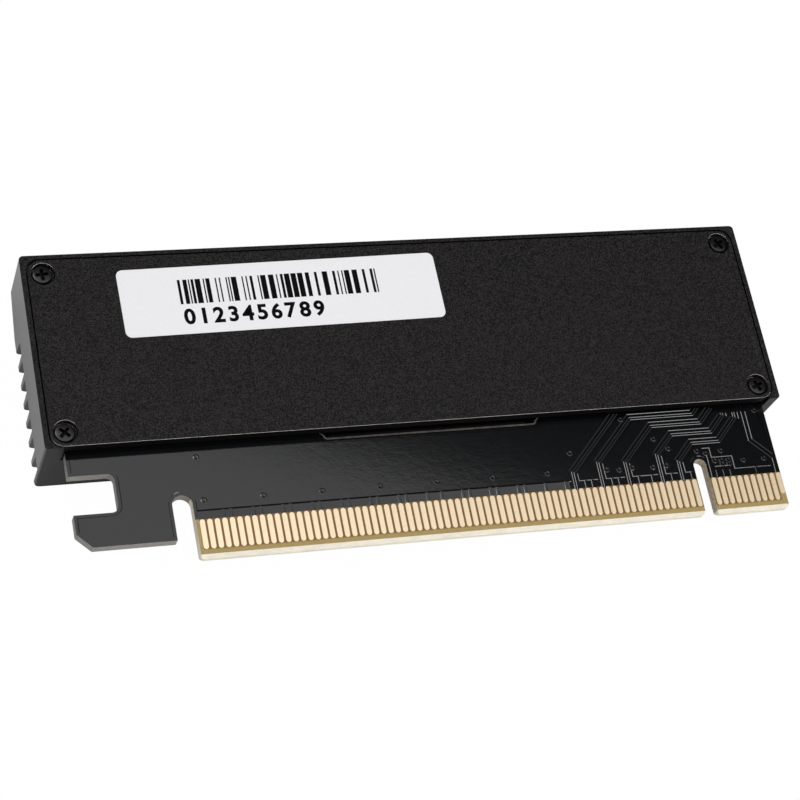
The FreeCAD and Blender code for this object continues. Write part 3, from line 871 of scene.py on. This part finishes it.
def pour_sheet(low_y):
    """Upper face of the board between the contacts and the plate, set back from its edges."""
    s = sizes()
    shape = merged_copy("circuit_board")
    others = [f for f in shape.faces
              if f.normal.z < upright or not on_top(f.calc_center_median())]
    bmesh.ops.delete(shape, geom=others, context="FACES")
    split_at(shape, low_y * MM, shape.faces[:])
    middles = [(f, f.calc_center_median()) for f in shape.faces]
    below = [f for f, middle in middles
             if middle.y < low_y * MM and middle.x > tongue_left * MM]
    bmesh.ops.delete(shape, geom=below, context="FACES")
    far = (plate_low.y + 1.2) * MM     # out of sight
    split_at(shape, far, shape.faces[:])
    hidden = [f for f in shape.faces if f.calc_center_median().y > far]
    bmesh.ops.delete(shape, geom=hidden, context="FACES")
    ring = bmesh.ops.inset_region(shape, faces=shape.faces[:], thickness=s.pour_margin * MM,
                                  use_even_offset=True, use_boundary=True)
    bmesh.ops.delete(shape, geom=ring["faces"], context="FACES")
    return shape


def thickened(shape, below, above):
    """Closed slab from an open flat sheet."""
    bmesh.ops.translate(shape, verts=shape.verts, vec=(0, 0, -below * MM))
    result = bmesh.ops.extrude_face_region(shape, geom=shape.faces[:])
    lifted = [g for g in result["geom"] if isinstance(g, bmesh.types.BMVert)]
    bmesh.ops.translate(shape, verts=lifted, vec=(0, 0, (below + above) * MM))
    bmesh.ops.recalc_face_normals(shape, faces=shape.faces)
    return shape


def sloped_sheet(piece):
    """Top of a cut slab as a sheet whose rim slopes down to the board."""
    s = sizes()
    shape = bmesh.new()
    shape.from_mesh(piece.data)
    level = (board_z + s.copper_height / 2) * MM
    others = [f for f in shape.faces
              if abs(f.normal.z) < upright or f.calc_center_median().z < level]
    bmesh.ops.delete(shape, geom=others, context="FACES")
    clean_faces(shape, 0.004)
    bmesh.ops.inset_region(shape, faces=shape.faces[:], thickness=s.copper_slope * MM,
                           use_even_offset=True, use_boundary=True)
    rim = set()
    for edge in shape.edges:
        if edge.is_boundary:
            rim.update(edge.verts)
    bmesh.ops.translate(shape, verts=list(rim), vec=(0, 0, -(s.copper_height + foot_depth) * MM))
    piece.data = mesh_from(shape, piece.name, smooth=False)
    return piece


def pour_apron(mask):
    """Mask that sags from the pour's near edge to the contacts, left of the lanes."""
    s = sizes()
    left, right = tongue_left - key_x + s.pour_margin, contact_x(apron_contact) - key_x
    # Its profile: y, and height above the board's face
    section = ((s.mask_end + 0.04, 0.001), (s.mask_end + 0.6, 0.021),
               (s.pour_edge + 0.03, s.copper_height + 0.012),
               (s.pour_edge + 0.3, s.copper_height - 0.001))
    shape = bmesh.new()
    for (low_y, low_z), (high_y, high_z) in zip(section, section[1:]):
        shape.faces.new([shape.verts.new(spot(x, y, z)) for x, y, z in (
            (left, low_y, low_z), (right, low_y, low_z),
            (right, high_y, high_z), (left, high_y, high_z))])
    return new_object("pour_apron", mesh_from(shape, "pour_apron", smooth=False), [mask])


def middle_of(edge):
    """Middle of an edge."""
    return (edge.verts[0].co + edge.verts[1].co) / 2


def is_wall(face):
    """Whether a face stands upright on the board."""
    return abs(face.normal.z) < 0.1


def window_edges(shape):
    """Edges round the window on the board's upper face."""
    edges = []
    for edge in shape.edges:
        top = any(face.normal.z > upright for face in edge.link_faces)
        wall = any(is_wall(face) for face in edge.link_faces)
        if top and wall and in_window(middle_of(edge)) and on_top(middle_of(edge)):
            edges.append(edge)
    return edges


def build_window_rim():
    """Narrow ring of bare laminate where the window was routed through the mask."""
    shape = merged_copy("circuit_board")
    rim = window_edges(shape)
    centre = sum((middle_of(edge) for edge in rim), Vector()) / len(rim)
    points = sorted({vert for edge in rim for vert in edge.verts},
                    key=lambda v: math.atan2(v.co.y - centre.y, v.co.x - centre.x))
    wide = sizes().rim_width * MM
    lift = Vector((0, 0, 0.004 * MM))    # just clear of the board's face
    ring = bmesh.new()
    inner = [ring.verts.new(vert.co + lift) for vert in points]
    outer = []
    for vert in points:
        walls = [face.normal for face in vert.link_faces if is_wall(face)]
        away = sum(walls, Vector()).normalized()
        outer.append(ring.verts.new(vert.co + away * wide + lift))
    for i in range(len(inner)):
        j = (i + 1) % len(inner)
        ring.faces.new((inner[i], outer[i], outer[j], inner[j]))
    bmesh.ops.recalc_face_normals(ring, faces=ring.faces)
    shape.free()
    piece = new_object("window_rim", mesh_from(ring, "window_rim", smooth=False),
                       [scuffed_laminate()])
    settle(piece, "board_mask")


def via_shape():
    """Tented via: a low rim of mask round a dimple."""
    s = sizes()
    # Radius as a share of the rim's, and height as a share of the copper's
    section = ((1.0, 0.9), (0.7, 1.9), (0.42, 1.8), (0.2, 1.1))
    steps = 14
    shape = bmesh.new()
    rings = []
    for share, height in section:
        radius = share * s.via_radius
        angles = [2 * math.pi * i / steps for i in range(steps)]
        rings.append([shape.verts.new((radius * math.cos(angle) * MM,
                                       radius * math.sin(angle) * MM,
                                       height * s.copper_height * MM)) for angle in angles])
    for outer, inner in zip(rings, rings[1:]):
        for i in range(steps):
            j = (i + 1) % steps
            shape.faces.new((outer[i], outer[j], inner[j], inner[i]))
    shape.faces.new(rings[-1])
    return shape


def via_spots():
    """Places of the vias: a row along the pour, those of the power contacts, and loose ones."""
    row = [(-70.8 + 8.0 * i, 7.9) for i in range(7)]
    power = [(x, 7.85) for x in power_places] + [(x, 7.3) for x in power_places[1:]]
    loose = [(1.3, 9.05), (-70.9, 14.0), (-18.9, 10.6), (-14.05, 7.75), (-12.2, 7.6),
             (-10.2, 7.75), (-7.1, 7.6), (-5.05, 7.7), (-6.0, 11.8), (-10.2, 15.1),
             (6.8, 7.65), (10.0, 7.65), (10.5, 15.05), (3.7, 9.3), (-4.15, 10.2), (0.05, 9.5)]
    return row + power + loose


def raised(line, height):
    """Line moved up by a height in millimetres."""
    return [point + Vector((0, 0, height * MM)) for point in line]


def strips_along(name, lines, foot, top, height, material):
    """Strips of copper under the mask, their feet just below the board's face."""
    curve = line_curve(name, [raised(line, height / 2 - foot_depth) for line in lines])
    return run_tree(curve, strip_tree(), {
        "Foot": foot * MM, "Top": top * MM, "Height": height * MM, "Material": material})


def copper_pour(mask):
    """Pour with gaps round the lane pairs and both single traces, and above the power contacts."""
    s = sizes()
    slab_depth = 0.06          # into the board, for a clean cut
    sheet = pour_sheet(edge_y + s.pour_edge - s.pour_margin)
    sheet = thickened(sheet, slab_depth, s.copper_height)
    pour = new_object("copper_pour", mesh_from(sheet, "copper_pour", smooth=False), [mask])
    single_width, power_width = 1.05, 3.2
    power_x, power_end = 3.5, 8.3
    cutter_height = 0.2
    gaps = [(lane_line(*lane, 0.0), s.channel_width) for lane in lanes]
    gaps += [(detect_line(), single_width), (sense_line(9.1, 9.75), single_width),
             ([spot(power_x, copper_start), spot(power_x, power_end)], power_width)]
    for line, width in gaps:
        pour = cut(pour, strips_along("channel", [line], width, width, cutter_height, mask))
    return sloped_sheet(pour)


def lane_traces(mask):
    """Both traces of each lane pair, and the two single ones."""
    s = sizes()
    lines = [detect_line(), sense_line(9.1)]
    for lane in lanes:
        for side in (-1, 1):
            lines.append(lane_line(*lane, side * s.pair_spacing / 2))
    return strips_along("lane_traces", lines, s.trace_width, s.trace_width - 2 * s.copper_slope,
                        s.copper_height, mask)


def ground_stubs(mask):
    """Copper from each ground contact up to the pour, standing higher through the apron."""
    s = sizes()
    top = s.stub_width - 2 * s.copper_slope
    low_end, high_end = s.pour_edge + 0.09, s.pour_edge + 0.14
    near_z, far_z = -0.022, 0.004      # the high ones climb with the apron
    high_foot, high_height = s.stub_width + 0.1, 1.5 * s.copper_height
    places = [(n, contact_x(n) - key_x) for n in ground_contacts]
    low = [[spot(x, copper_start), spot(x, low_end)] for n, x in places if n < apron_contact]
    high = [[spot(x, copper_start, near_z), spot(x, high_end, far_z)]
            for n, x in places if n > apron_contact]
    return (
        strips_along("ground_stubs", low, s.stub_width, top, s.copper_height - stub_drop, mask),
        strips_along("tall_ground_stubs", high, high_foot, top, high_height, mask))


def power_copper(mask):
    """Stubs of the three power contacts and the bar of copper above them."""
    stub_end = 6.4
    bar_left, bar_right, bar_y = 2.2, 4.75, 7.15
    foot, top = 0.5, 0.32
    lines = [[spot(x, copper_start), spot(x, stub_end)] for x in power_places]
    lines.append([spot(bar_left, bar_y), spot(bar_right, bar_y)])
    return strips_along("power_stubs", lines, foot, top, sizes().copper_height - stub_drop, mask)


def tented_vias(mask):
    """One tented via on each of their places."""
    via = new_object("via_pattern", mesh_from(via_shape(), "via_pattern"), [mask])
    places = points_mesh("tented_vias", [spot(x, y) for x, y in via_spots()])
    dimples = run_tree(new_object("tented_vias", places), copies_tree(),
                       {"Object": via, "Material": mask})
    bpy.data.objects.remove(via)
    return dimples


def build_relief():
    """Copper pour, lane pairs, stubs and vias that show as relief through the mask."""
    mask = solder_mask()
    shape = joined([copper_pour(mask), pour_apron(mask), lane_traces(mask), *ground_stubs(mask),
                    power_copper(mask), tented_vias(mask)])
    relief = new_object("copper_relief", mesh_from(shape, "copper_relief", smooth=False), [mask])
    settle(relief, "board_mask")


# ------------------------------------------------------------ label
# Places are in millimetres from the label's middle, along its own sides.
label_turn = 0.78              # degrees, as it was stuck on
print_left, print_right = -14.35, 13.55
bars_low, bars_high = -0.6, 3.05
digits_low, digits_height = -3.65, 2.35
digit_pitch = 2.0


def label_place(lift):
    """Matrix from the label's own middle to this far above its face, in millimetres."""
    middle = (label_low + label_high) / 2
    turn = Matrix.Rotation(math.radians(label_turn), 4, "Z")
    return Matrix.Translation(Vector((middle.x, middle.y, label_high.z + lift)) * MM) @ turn


def add_bars(shape):
    """Row of bars and gaps, each of one to four modules, in a fixed random order."""
    rng = random.Random(7)
    widths = [(rng.choice((1, 1, 2, 3, 4)), rng.choice((1, 2, 2, 4)))
              for _ in range(sizes().bar_count)]
    modules = sum(bar + gap for bar, gap in widths) - widths[-1][1]
    module = (print_right - print_left) / modules
    x = print_left
    for bar, gap in widths:
        wide = bar * module
        corners = ((x, bars_low), (x + wide, bars_low), (x + wide, bars_high), (x, bars_high))
        shape.faces.new([shape.verts.new((a * MM, b * MM, 0)) for a, b in corners])
        x += (bar + gap) * module


def digit_mesh(digit):
    """Bold digit in the units of its font."""
    text = bpy.data.curves.new("digit", "FONT")
    text.body = str(digit)
    text.offset = 0.012
    text.bevel_depth = 0.022
    text.bevel_resolution = 0
    piece = linked("digit", text)
    mesh = evaluated_mesh(piece)
    bpy.data.objects.remove(piece)
    return mesh


def add_digits(shape):
    """The ten digits under the bars, at an even pitch and almost flat."""
    thinned = 0.05
    for digit in range(10):
        mesh = digit_mesh(digit)
        xs = [v.co.x for v in mesh.vertices]
        ys = [v.co.y for v in mesh.vertices]
        up = digits_height / (max(ys) - min(ys))
        middle = print_left + (digit + 0.45) * digit_pitch
        for v in mesh.vertices:
            x = middle + (v.co.x - (min(xs) + max(xs)) / 2) * up
            y = digits_low + (v.co.y - min(ys)) * up
            v.co = Vector((x, y, v.co.z * thinned)) * MM
        shape.from_mesh(mesh)


def build_label():
    """White label with a slightly soft edge, and its print just above it."""
    edge_break = 0.03
    print_lift = 0.012
    film = mesh_from(merged_copy("serial_label"), "asset_label")
    piece = bevelled(new_object("asset_label", film, [label_film()]), edge_break, segments=1)
    settle(piece, "label_stock", "serial_label")
    shape = bmesh.new()
    add_bars(shape)
    add_digits(shape)
    bmesh.ops.transform(shape, matrix=label_place(print_lift), verts=shape.verts)
    ink = new_object("label_print", mesh_from(shape, "label_print"), [print_ink()])
    settle(ink, "label_stock")


# ------------------------------------------------------------ inner pieces
def moulded_nylon():
    """Glass-filled nylon, moulded: dull black, faintly mottled by its fibres."""
    return grain_material("Glass filled nylon", linear("#161617"), grain=0.3, spread=0.2,
                          bump=0.004, roughness=0.5)


def tinned_brass():
    """Brass, tin plated: pale grey with a soft shine."""
    return grain_material("Tinned brass", linear("#B9BBBC"), grain=0.3, spread=0.06,
                          bump=0.002, roughness=0.3, metallic=1.0)


def flash_gold():
    """Thin gold over nickel on stamped pins: a deeper yellow than the edge contacts."""
    return grain_material("Flash gold", linear("#E8BE6E"), grain=0.3, spread=0.05,
                          bump=0.001, roughness=0.3, metallic=1.0)


def thermal_pad():
    """Filled silicone sheet, cast: soft grey-blue, matte and slightly tacky."""
    return grain_material("Silicone thermal pad", linear("#8FA3B5"), grain=0.6, spread=0.06,
                          bump=0.02, roughness=0.85)


def pressed_ferrite():
    """Ferrite, pressed and fired: dark grey with a fine powdery grain."""
    return grain_material("Ferrite", linear("#3A3A3C"), grain=0.2, spread=0.2,
                          bump=0.006, roughness=0.6)


def moulding_compound():
    """Epoxy moulding compound: near black and matte, as its tool was sparked."""
    return grain_material("Moulding compound", linear("#1B1B1C"), grain=0.15, spread=0.2,
                          bump=0.004, roughness=0.6)


def fired_ceramic():
    """Ceramic of a capacitor, fired: even tan with a low gloss."""
    return grain_material("Ceramic capacitor", linear("#A98B63"), grain=0.3, spread=0.06,
                          bump=0.002, roughness=0.5)


def resistor_glaze():
    """Glaze over a printed resistor: black and smooth."""
    return grain_material("Resistor glaze", linear("#17181A"), grain=0.3, spread=0.1,
                          bump=0.002, roughness=0.35)


def nickel_steel():
    """Steel screw, nickel plated: warm light grey with clear reflections."""
    return grain_material("Nickel plated steel", linear("#A9A9A8"), grain=0.2, spread=0.06,
                          bump=0.002, roughness=0.32, metallic=1.0)


def build_inner():
    """Finishes of what lies under the plate: socket, stand-off, pads and power parts."""
    for make, nodes in (
            (moulded_nylon, ("socket_housing",)),
            (flash_gold, ("upper_socket_pins", "lower_socket_pins")),
            (tinned_brass, ("socket_solder_nails", "drive_standoff", "regulator_leads")),
            (nickel_steel, ("drive_screw",)),
            (thermal_pad, ("bay_thermal_pad", "plate_thermal_pad")),
            (pressed_ferrite, ("power_inductor",)),
            (moulding_compound, ("regulator_body",)),
            (fired_ceramic, ("bulk_capacitors", "ceramic_capacitors")),
            (resistor_glaze, ("chip_resistors",))):
        material = make()
        for node in nodes:
            finish_node(node, material)


# ------------------------------------------------------------ stage
def softbox(name, centre, width, height, radiance, aim=(0, 0, 0)):
    """Rectangular soft light of an even radiance, facing the aim; all in metres."""
    light = bpy.data.lights.new(name, "AREA")
    light.shape = "RECTANGLE"
    light.size = width
    light.size_y = height
    light.energy = radiance * math.pi * width * height
    piece = linked(name, light)
    back = (Vector(centre) - Vector(aim)).normalized()
    turn = back.to_track_quat("Z", "Y").to_matrix().to_4x4()
    piece.matrix_world = Matrix.Translation(Vector(centre)) @ turn
    return piece


def seen_white(tree):
    """Share of plain white that the camera and mirror rays see over the lit paper."""
    mirror_share, camera_share = 0.25, 0.99
    rays = add(tree, "ShaderNodeLightPath")
    mirrored = add(tree, "ShaderNodeMath", operation="MAXIMUM",
                   links={0: (rays, "Is Glossy Ray"), 1: (rays, "Is Transmission Ray")})
    part = add(tree, "ShaderNodeMath", {1: mirror_share}, {0: (mirrored, "Value")},
               operation="MULTIPLY")
    direct = add(tree, "ShaderNodeMath", {1: camera_share}, {0: (rays, "Is Camera Ray")},
                 operation="MULTIPLY")
    return add(tree, "ShaderNodeMath", operation="MAXIMUM",
               links={0: (part, "Value"), 1: (direct, "Value")})


def studio_paper():
    """White paper: matte, and almost plain white to the eye, with the card's shadow on it."""
    material = bpy.data.materials.new("Studio paper")
    material.use_nodes = True
    tree = material.node_tree
    tree.nodes.clear()
    paper = add(tree, "ShaderNodeBsdfDiffuse", {"Color": rgba(colours().floor)})
    share = seen_white(tree)
    white = add(tree, "ShaderNodeEmission", {"Strength": 1.0})
    mix = add(tree, "ShaderNodeMixShader",
              links={0: (share, "Value"), 1: (paper, "BSDF"), 2: (white, "Emission")})
    add(tree, "ShaderNodeOutputMaterial", links={"Surface": (mix, "Shader")})
    return material


def build_floor():
    """Wide sheet of paper level with the card's lowest points."""
    half_side = 3.0
    shape = bmesh.new()
    bmesh.ops.create_grid(shape, x_segments=1, y_segments=1, size=half_side,
                          matrix=Matrix.Translation((0, 0, CAD_BOX[0][2])))
    floor = new_object("studio_floor", mesh_from(shape, "studio_floor"), [studio_paper()])


def build_world():
    """Dim, slightly cool room, seen by the camera as plain white."""
    world = bpy.data.worlds.new("Studio")
    bpy.context.scene.world = world
    world.use_nodes = True
    tree = world.node_tree
    tree.nodes.clear()
    rays = add(tree, "ShaderNodeLightPath")
    room = add(tree, "ShaderNodeBackground", {"Color": (0.95, 0.97, 1.0, 1.0), "Strength": 0.05})
    white = add(tree, "ShaderNodeBackground", {"Color": (1, 1, 1, 1), "Strength": 1.0})
    mix = add(tree, "ShaderNodeMixShader",
              links={0: (rays, "Is Camera Ray"), 1: (room, "Background"), 2: (white, "Background")})
    add(tree, "ShaderNodeOutputWorld", links={"Surface": (mix, "Shader")})


def build_overhead():
    """Wide overhead softbox, turned so that its far edge shows as a soft band in the mask."""
    height = 0.9
    edge = Vector((0.385, 0.923, 0.0))
    along = Vector((0.923, -0.385, 0.0))
    near, far = -0.55, 0.488
    left, right = -0.66, 0.75
    middle = (edge * (near + far) / 2 + along * (left + right) / 2 + Vector((0, 0, 1))) * height
    overhead = softbox("Overhead softbox", middle, (right - left) * height,
                       (far - near) * height, radiance=1.48, aim=middle - Vector((0, 0, 1)))
    overhead.rotation_euler = (0, 0, math.atan2(along.y, along.x))


def build_lights():
    """Softbox above, lamps that catch the slopes of the traces and the plate's near edge, and
    two weak fills from the sides."""
    build_overhead()
    for name, centre, width, height, radiance in (
            ("Front lamp", (0.45, -0.34, 0.88), 0.36, 0.26, 5.8),
            ("Left lamp", (-0.27, 0.345, 0.88), 0.22, 0.22, 6.0),
            ("Right lamp", (0.835, -0.066, 0.585), 0.45, 0.45, 0.8),
            ("Front strip", (0.284, -0.781, 0.346), 0.5, 0.3, 4.5),
            ("Front softbox", (-0.45, -0.62, 0.35), 0.5, 0.5, 0.6),
            ("Side softbox", (-0.9, 0.1, 0.4), 0.5, 0.5, 1.5)):
        softbox(name, centre, width, height, radiance)


def build_camera():
    """Camera at its way round, height, tilt and distance from the aim."""
    view = bpy.context.scene.card_view
    round_z, height, roll = (math.radians(v) for v in (view.azimuth, view.elevation, view.roll))
    back = Vector((math.sin(round_z) * math.cos(height), -math.cos(round_z) * math.cos(height),
                   math.sin(height)))
    side = Vector((math.cos(round_z), math.sin(round_z), 0))
    up = back.cross(side)
    right = side * math.cos(roll) + up * math.sin(roll)
    top = back.cross(right)
    camera = bpy.data.cameras.new("Camera")
    camera.sensor_width = 36.0
    camera.lens = view.lens
    camera.clip_start = 0.01
    piece = linked("Camera", camera)
    place = (Vector(view.aim) + back * view.distance) * MM
    turn = Matrix((right, top, back)).transposed().to_4x4()
    piece.matrix_world = Matrix.Translation(place) @ turn
    bpy.context.scene.camera = piece


# ------------------------------------------------------------ operators
class CARD_OT_shell(bpy.types.Operator):
    """Finned shell in extruded, anodised aluminium"""
    bl_idname = "card.shell"
    bl_label = "Finned shell"

    def execute(self, context):
        build_shell()
        return {"FINISHED"}


class CARD_OT_plate(bpy.types.Operator):
    """Back plate in blasted, anodised aluminium"""
    bl_idname = "card.plate"
    bl_label = "Back plate"

    def execute(self, context):
        build_plate()
        return {"FINISHED"}


class CARD_OT_screws(bpy.types.Operator):
    """Four cross-head screws in the back plate"""
    bl_idname = "card.screws"
    bl_label = "Cover screws"

    def execute(self, context):
        build_screws()
        return {"FINISHED"}


class CARD_OT_board(bpy.types.Operator):
    """Routed circuit board with its solder mask, and the bare rim of its window"""
    bl_idname = "card.board"
    bl_label = "Circuit board"

    def execute(self, context):
        build_board()
        build_window_rim()
        return {"FINISHED"}


class CARD_OT_relief(bpy.types.Operator):
    """Copper that shows as relief through the mask"""
    bl_idname = "card.relief"
    bl_label = "Copper relief"

    def execute(self, context):
        build_relief()
        return {"FINISHED"}


class CARD_OT_contacts(bpy.types.Operator):
    """Both rows of gold edge contacts"""
    bl_idname = "card.contacts"
    bl_label = "Edge contacts"

    def execute(self, context):
        build_contact_row("front_fingers", "front_edge_contacts", pads_low, pads_high, short_front)
        build_contact_row("rear_fingers", "rear_edge_contacts", rear_low, rear_high, short_rear)
        return {"FINISHED"}


class CARD_OT_label(bpy.types.Operator):
    """White label with plain bars and digits"""
    bl_idname = "card.label"
    bl_label = "Label"

    def execute(self, context):
        build_label()
        return {"FINISHED"}


class CARD_OT_inner(bpy.types.Operator):
    """Finishes of the pieces under the plate"""
    bl_idname = "card.inner"
    bl_label = "Inner pieces"

    def execute(self, context):
        build_inner()
        return {"FINISHED"}


class CARD_OT_stage(bpy.types.Operator):
    """Floor, lights, surroundings and camera"""
    bl_idname = "card.stage"
    bl_label = "Stage"

    def execute(self, context):
        build_floor()
        build_world()
        build_lights()
        build_camera()
        bpy.context.scene.view_settings.view_transform = "Standard"
        return {"FINISHED"}


operators = (CARD_OT_shell, CARD_OT_plate, CARD_OT_screws, CARD_OT_board, CARD_OT_relief,
             CARD_OT_contacts, CARD_OT_label, CARD_OT_inner, CARD_OT_stage)


class CARD_PT_panel(bpy.types.Panel):
    """Sidebar panel with every build step"""
    bl_idname = "CARD_PT_panel"
    bl_label = "Drive adapter card"
    bl_space_type = "VIEW_3D"
    bl_region_type = "UI"
    bl_category = "Card"

    def draw(self, context):
        for step in operators:
            self.layout.operator(step.bl_idname)


classes = (CardSizes, CardColours, CardView) + operators + (CARD_PT_panel,)


def register():
    """Register the classes, and give the scene its sizes, colours and view."""
    for item in classes:
        bpy.utils.register_class(item)
    bpy.types.Scene.card_sizes = PointerProperty(type=CardSizes)
    bpy.types.Scene.card_colours = PointerProperty(type=CardColours)
    bpy.types.Scene.card_view = PointerProperty(type=CardView)


def unregister():
    """Undo what register did."""
    del bpy.types.Scene.card_view
    del bpy.types.Scene.card_colours
    del bpy.types.Scene.card_sizes
    for item in reversed(classes):
        bpy.utils.unregister_class(item)


def main():
    """Build every piece and the stage."""
    register()
    for step in operators:
        family, name = step.bl_idname.split(".")
        getattr(getattr(bpy.ops, family), name)()


if __name__ == "__main__":
    main()
